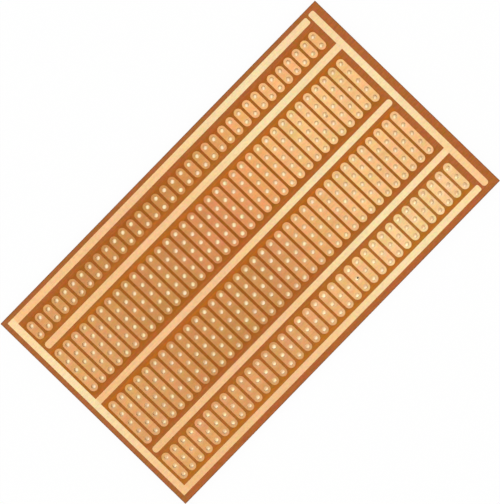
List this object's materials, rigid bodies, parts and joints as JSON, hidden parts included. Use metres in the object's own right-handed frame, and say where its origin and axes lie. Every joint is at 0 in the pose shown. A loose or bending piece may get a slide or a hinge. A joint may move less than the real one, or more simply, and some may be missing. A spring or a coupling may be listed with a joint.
{
  "type": "prototype board",
  "caption": "Flat rectangular phenolic-paper prototyping board with rows of punched lead holes, copper strips that join holes in short groups, and two interleaved comb-shaped supply rails.",
  "frame": {"origin": "middle of the bare underside", "axes": "+X along the long side, towards the end with the narrow free-standing rail; +Y towards the two-hole group; +Z out of the copper side"},
  "size_m": [0.0966, 0.0552, 0.0012],
  "materials": {
    "laminate": "satin red-brown phenolic-paper laminate with punched holes and sheared edges",
    "rail_copper": "etched copper foil with a thin clear flux lacquer, pale and warm",
    "strip_copper": "etched copper foil with a thin clear flux lacquer, slightly tarnished"
  },
  "bodies": {
    "root": {"laminate_board": "laminate", "left_rail_comb": "rail_copper", "right_rail_comb": "rail_copper", "two_hole_strips": "strip_copper", "upper_five_hole_strips": "strip_copper", "lower_five_hole_strips": "strip_copper", "three_hole_strips": "strip_copper"}
  },
  "joints": []
}
